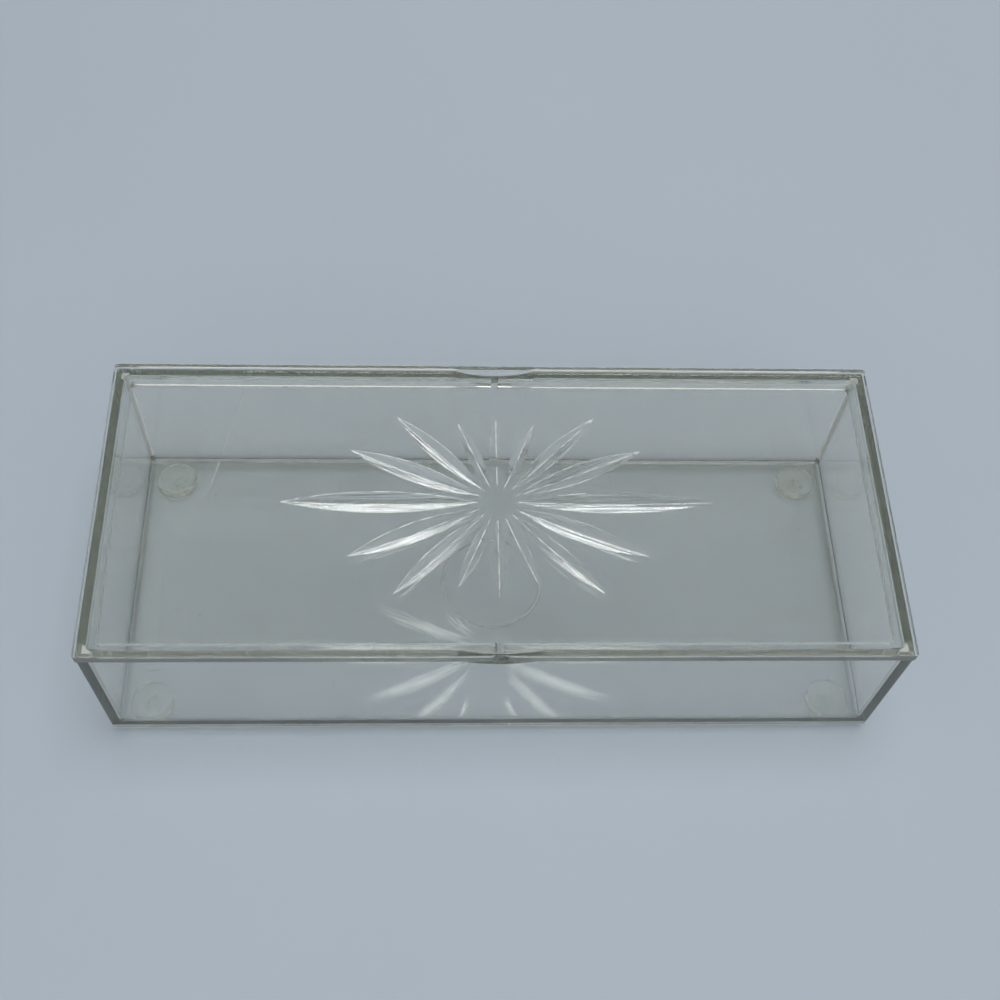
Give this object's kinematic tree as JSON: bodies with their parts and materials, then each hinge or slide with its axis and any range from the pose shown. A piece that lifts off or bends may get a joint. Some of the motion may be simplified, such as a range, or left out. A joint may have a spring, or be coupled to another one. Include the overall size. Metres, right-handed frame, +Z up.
{
  "type": "clear storage box",
  "caption": "Clear moulded rectangular storage box on small dome feet, with a loose lift-off lid that has a star cut into its top and a locating rib underneath.",
  "frame": {"origin": "centre of the footprint, on the surface that the feet stand on", "axes": "+Z up through the lid, +X along the length of the box, -Y towards the front with the lid's gate scar"},
  "size_m": [0.165, 0.0696, 0.04],
  "materials": {
    "clear_tray": "clear moulded plastic, glossy, with faint handling scratches and greenish-grey edges",
    "clear_lid": "clear moulded plastic, glossy, with faint handling scratches and greenish-grey edges",
    "clear_foot": "clear glossy domed plastic"
  },
  "bodies": {
    "tray": {"tray": "clear_tray", "foot_front_left": "clear_foot", "foot_front_right": "clear_foot", "foot_rear_left": "clear_foot", "foot_rear_right": "clear_foot"},
    "lid": {"lid": "clear_lid"}
  },
  "joints": [
    {"name": "lid_lift", "type": "slide", "parent": "tray", "child": "lid", "axis": [0, 0, 1], "range_m": [0, 0.06]}
  ]
}
